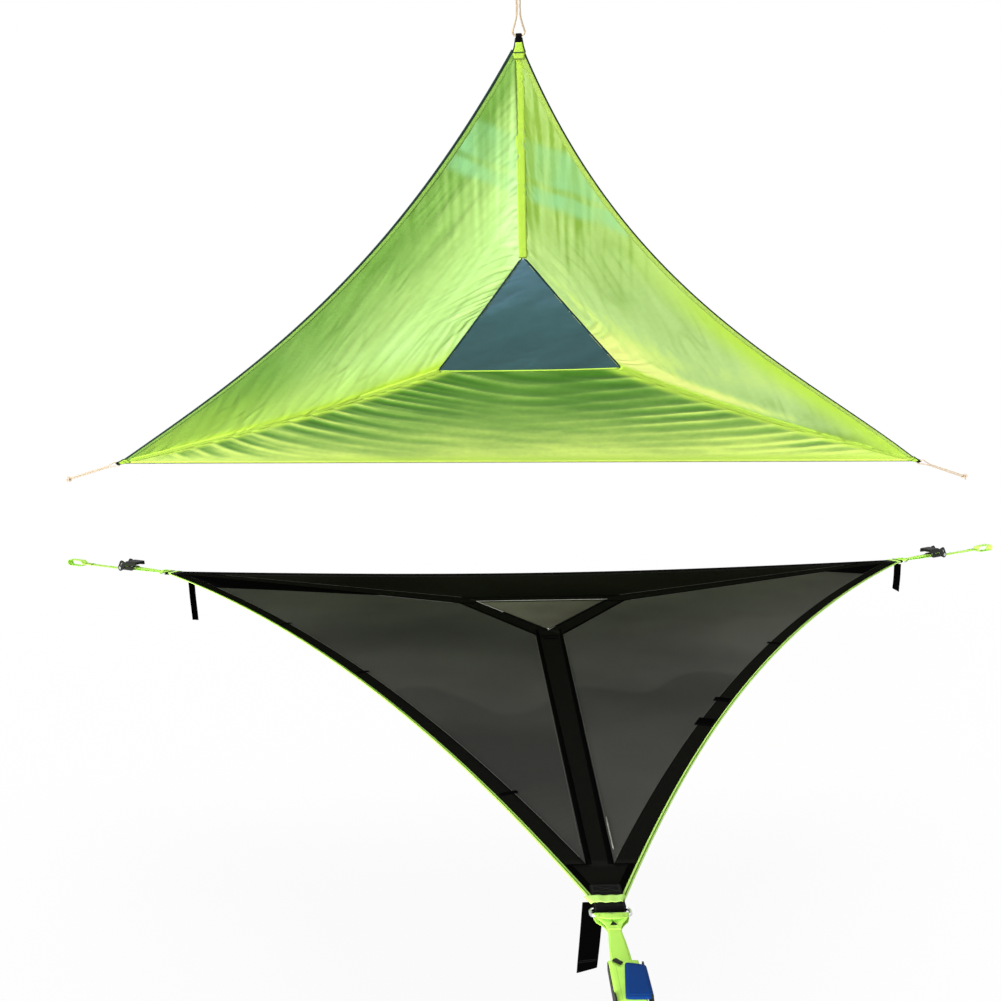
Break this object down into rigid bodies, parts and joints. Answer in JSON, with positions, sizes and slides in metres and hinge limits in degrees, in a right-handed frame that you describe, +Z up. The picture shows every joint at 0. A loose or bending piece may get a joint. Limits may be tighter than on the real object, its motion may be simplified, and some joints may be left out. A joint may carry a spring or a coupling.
{
  "type": "hammock tent",
  "caption": "Suspended tree hammock: triangular mesh bed with webbing bands, hatch and corner ratchet straps, under a sloping green canopy with a vent panel.",
  "frame": {"origin": "centre of the three hanging points, at the underside of the bed corners", "axes": "+Z up, the front corner of the bed toward -Y, the rear side of the bed toward +Y"},
  "size_m": [5.4378, 4.7093, 2.5868],
  "materials": {
    "black_webbing": "matte",
    "black_mesh": "matte",
    "lime_webbing": "matte",
    "lime_fabric": "satin",
    "green_fabric": "satin",
    "vent_fabric": "satin",
    "steel": "satin",
    "dark_steel": "satin",
    "blue_cover": "satin",
    "tan_cord": "matte"
  },
  "bodies": {
    "root": {"corner_loop_front": "black_webbing", "corner_ring_front": "steel", "sling_front": "lime_webbing", "ratchet_frame_front": "dark_steel", "tree_strap_front": "lime_webbing", "spoke_band_front": "black_webbing", "corner_loop_right": "black_webbing", "corner_ring_right": "steel", "sling_right": "lime_webbing", "ratchet_frame_right": "dark_steel", "tree_strap_right": "lime_webbing", "spoke_band_right": "black_webbing", "corner_loop_left": "black_webbing", "corner_ring_left": "steel", "sling_left": "lime_webbing", "ratchet_frame_left": "dark_steel", "tree_strap_left": "lime_webbing", "spoke_band_left": "black_webbing", "mesh_panel_right": "black_mesh", "rim_band_right": "black_webbing", "canopy_panel_right": "lime_fabric", "mesh_panel_rear": "black_mesh", "rim_band_rear": "black_webbing", "canopy_panel_rear": "green_fabric", "mesh_panel_left": "black_mesh", "rim_band_left": "black_webbing", "canopy_panel_left": "lime_fabric", "edge_webbing": "lime_webbing", "hatch_border": "black_webbing", "canopy_edge_webbing": "lime_webbing", "canopy_seam_webbing": "lime_webbing", "canopy_vent_panel": "vent_fabric", "canopy_tab_front": "black_webbing", "canopy_cord_front": "tan_cord", "canopy_tab_right": "black_webbing", "canopy_cord_right": "tan_cord", "canopy_tab_left": "black_webbing", "canopy_cord_left": "tan_cord"},
    "handle_front": {"ratchet_handle_front": "dark_steel", "handle_cover_front": "blue_cover"},
    "spool_front": {"spool_front": "steel", "wound_strap_front": "lime_webbing"},
    "drive_pawl_front": {"drive_pawl_front": "steel"},
    "lock_pawl_front": {"lock_pawl_front": "steel"},
    "tail_strap_front": {"tail_strap_front": "black_webbing"},
    "handle_right": {"ratchet_handle_right": "dark_steel", "handle_cover_right": "blue_cover"},
    "spool_right": {"spool_right": "steel", "wound_strap_right": "lime_webbing"},
    "drive_pawl_right": {"drive_pawl_right": "steel"},
    "lock_pawl_right": {"lock_pawl_right": "steel"},
    "tail_strap_right": {"tail_strap_right": "black_webbing"},
    "handle_left": {"ratchet_handle_left": "dark_steel", "handle_cover_left": "blue_cover"},
    "spool_left": {"spool_left": "steel", "wound_strap_left": "lime_webbing"},
    "drive_pawl_left": {"drive_pawl_left": "steel"},
    "lock_pawl_left": {"lock_pawl_left": "steel"},
    "tail_strap_left": {"tail_strap_left": "black_webbing"},
    "hatch_flap": {"hatch_flap": "black_mesh"}
  },
  "joints": [
    {"name": "handle_hinge_front", "type": "hinge", "parent": "root", "child": "handle_front", "pos_m": [0, -2.66214, 0.0016], "axis": [1, 0, 0], "range_deg": [0, 120]},
    {"name": "spool_spin_front", "type": "hinge", "parent": "root", "child": "spool_front", "pos_m": [0, -2.66214, 0.0016], "axis": [1, 0, 0], "continuous": true},
    {"name": "drive_pawl_slide_front", "type": "slide", "parent": "handle_front", "child": "drive_pawl_front", "axis": [0, 0.5, 0.866], "range_m": [0, 0.005], "stiffness_N_per_m": 400, "springref_m": -0.002},
    {"name": "lock_pawl_slide_front", "type": "slide", "parent": "root", "child": "lock_pawl_front", "axis": [0, 1, 0], "range_m": [0, 0.005], "stiffness_N_per_m": 400, "springref_m": -0.002},
    {"name": "tail_swing_front", "type": "hinge", "parent": "root", "child": "tail_strap_front", "pos_m": [-0.03, -2.26514, -0.0046], "axis": [1, 0, 0], "range_deg": [-60, 60]},
    {"name": "handle_hinge_right", "type": "hinge", "parent": "root", "child": "handle_right", "pos_m": [2.30548, 1.33107, 0.0016], "axis": [-0.5, 0.866, 0], "range_deg": [0, 120]},
    {"name": "spool_spin_right", "type": "hinge", "parent": "root", "child": "spool_right", "pos_m": [2.30548, 1.33107, 0.0016], "axis": [-0.5, 0.866, 0], "continuous": true},
    {"name": "drive_pawl_slide_right", "type": "slide", "parent": "handle_right", "child": "drive_pawl_right", "axis": [-0.433, -0.25, 0.866], "range_m": [0, 0.005], "stiffness_N_per_m": 400, "springref_m": -0.002},
    {"name": "lock_pawl_slide_right", "type": "slide", "parent": "root", "child": "lock_pawl_right", "axis": [-0.866, -0.5, 0], "range_m": [0, 0.005], "stiffness_N_per_m": 400, "springref_m": -0.002},
    {"name": "tail_swing_right", "type": "hinge", "parent": "root", "child": "tail_strap_right", "pos_m": [1.97667, 1.10659, -0.0046], "axis": [-0.5, 0.866, 0], "range_deg": [-60, 60]},
    {"name": "handle_hinge_left", "type": "hinge", "parent": "root", "child": "handle_left", "pos_m": [-2.30548, 1.33107, 0.0016], "axis": [-0.5, -0.866, 0], "range_deg": [0, 120]},
    {"name": "spool_spin_left", "type": "hinge", "parent": "root", "child": "spool_left", "pos_m": [-2.30548, 1.33107, 0.0016], "axis": [-0.5, -0.866, 0], "continuous": true},
    {"name": "drive_pawl_slide_left", "type": "slide", "parent": "handle_left", "child": "drive_pawl_left", "axis": [0.433, -0.25, 0.866], "range_m": [0, 0.005], "stiffness_N_per_m": 400, "springref_m": -0.002},
    {"name": "lock_pawl_slide_left", "type": "slide", "parent": "root", "child": "lock_pawl_left", "axis": [0.866, -0.5, 0], "range_m": [0, 0.005], "stiffness_N_per_m": 400, "springref_m": -0.002},
    {"name": "tail_swing_left", "type": "hinge", "parent": "root", "child": "tail_strap_left", "pos_m": [-1.86872, 1.11355, -0.0015], "axis": [-0.5, -0.866, 0], "range_deg": [-60, 60]},
    {"name": "hatch_hinge", "type": "hinge", "parent": "root", "child": "hatch_flap", "pos_m": [0, 0.36997, -0.0045], "axis": [1, 0, 0], "range_deg": [0, 90]}
  ]
}
